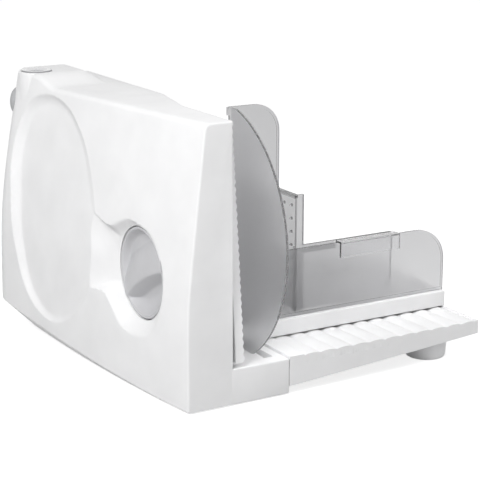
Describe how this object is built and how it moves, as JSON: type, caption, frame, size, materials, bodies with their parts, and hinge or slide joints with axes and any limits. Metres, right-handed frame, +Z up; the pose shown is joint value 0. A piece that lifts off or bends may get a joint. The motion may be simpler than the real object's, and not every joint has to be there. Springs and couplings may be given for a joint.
{
  "type": "food slicer",
  "caption": "Household food slicer: upright motor body with round blade, thickness knob and stop plate, ribbed tray, sliding carriage with clear guard and food holder.",
  "frame": {"origin": "centre of the overall box on the table top that the feet stand on", "axes": "+X from the motor body towards the tray, +Y away from the user along the carriage's travel, +Z up"},
  "size_m": [0.2896, 0.294, 0.2094],
  "materials": {
    "white_plastic": "satin white moulding",
    "silver_plastic": "silver paint",
    "grey_plastic": "fine grain",
    "smoky_plastic": "clear, smoke tint",
    "black_plastic": "moulded",
    "black_rubber": "matt",
    "nylon": "natural",
    "steel": "plain",
    "blade_steel": "ground in rings",
    "brass": "turned"
  },
  "bodies": {
    "body": {"housing_shell": "white_plastic", "inner_cover": "white_plastic", "bottom_cover": "grey_plastic", "tray": "white_plastic", "guide_bush_low": "nylon", "guide_bush_high": "nylon", "blade_bush": "brass", "idler_pin": "steel", "gear_frame": "steel", "motor_can": "steel", "motor_bracket": "steel", "on_button_spring": "steel", "safety_button_spring": "steel", "switch_block": "black_plastic", "tray_foot_front": "grey_plastic", "tray_foot_rear": "grey_plastic", "body_foot_near_left": "black_rubber", "body_foot_far_left": "black_rubber", "body_foot_near_right": "black_rubber", "body_foot_far_right": "black_rubber", "cord_gland": "black_rubber", "cover_screw_1": "steel", "cover_screw_2": "steel", "cover_screw_3": "steel", "cover_screw_4": "steel", "frame_screw_1": "steel", "frame_screw_2": "steel", "frame_screw_3": "steel", "frame_screw_4": "steel", "tray_screw_1": "steel", "tray_screw_2": "steel", "tray_screw_3": "steel"},
    "stop": {"stop_plate": "white_plastic", "stop_carrier": "nylon", "guide_rod_low": "steel", "guide_rod_high": "steel"},
    "knob": {"thickness_knob": "silver_plastic", "adjusting_screw": "nylon"},
    "blade": {"blade": "blade_steel", "blade_carrier": "nylon", "blade_screw": "grey_plastic", "blade_shaft": "steel", "blade_gear": "nylon"},
    "idler": {"idler_gear": "nylon"},
    "rotor": {"motor_shaft": "brass"},
    "carriage": {"carriage_table": "white_plastic", "carriage_runner": "nylon", "carriage_guard": "smoky_plastic"},
    "pusher": {"pusher": "smoky_plastic"},
    "on_button": {"on_button": "silver_plastic"},
    "safety_button": {"safety_button": "grey_plastic"}
  },
  "joints": [
    {"name": "stop_slide", "type": "slide", "parent": "body", "child": "stop", "axis": [1, 0, 0], "range_m": [-0.0025, 0.012]},
    {"name": "knob_turn", "type": "hinge", "parent": "body", "child": "knob", "pos_m": [-0.11047, -0.054, 0.086], "axis": [1, 0, 0], "range_deg": [-250, 53]},
    {"name": "blade_spin", "type": "hinge", "parent": "body", "child": "blade", "pos_m": [-0.04947, 0.042, 0.11], "axis": [1, 0, 0], "continuous": true},
    {"name": "idler_spin", "type": "hinge", "parent": "body", "child": "idler", "pos_m": [-0.09067, 0.042, 0.05], "axis": [1, 0, 0], "continuous": true},
    {"name": "motor_spin", "type": "hinge", "parent": "body", "child": "rotor", "pos_m": [-0.1019, 0.07, 0.073], "axis": [0, 1, 0], "continuous": true},
    {"name": "carriage_slide", "type": "slide", "parent": "body", "child": "carriage", "axis": [0, 1, 0], "range_m": [-0.09, 0.095]},
    {"name": "pusher_slide", "type": "slide", "parent": "carriage", "child": "pusher", "axis": [1, 0, 0], "range_m": [-0.05, 0.018]},
    {"name": "on_button_press", "type": "slide", "parent": "body", "child": "on_button", "axis": [0, 0, -1], "range_m": [0, 0.003], "stiffness_N_per_m": 500, "springref_m": -0.002, "deforming": ["on_button_spring"]},
    {"name": "safety_button_press", "type": "slide", "parent": "body", "child": "safety_button", "axis": [0.7071, -0.7071, 0], "range_m": [0, 0.003], "stiffness_N_per_m": 500, "springref_m": -0.002, "deforming": ["safety_button_spring"]}
  ],
  "couplings": [
    {"joint": "knob_turn", "follows": "stop_slide", "rad_per_m": -361.1},
    {"joint": "idler_spin", "follows": "blade_spin", "ratio": -4},
    {"joint": "motor_spin", "follows": "blade_spin", "ratio": -30}
  ]
}
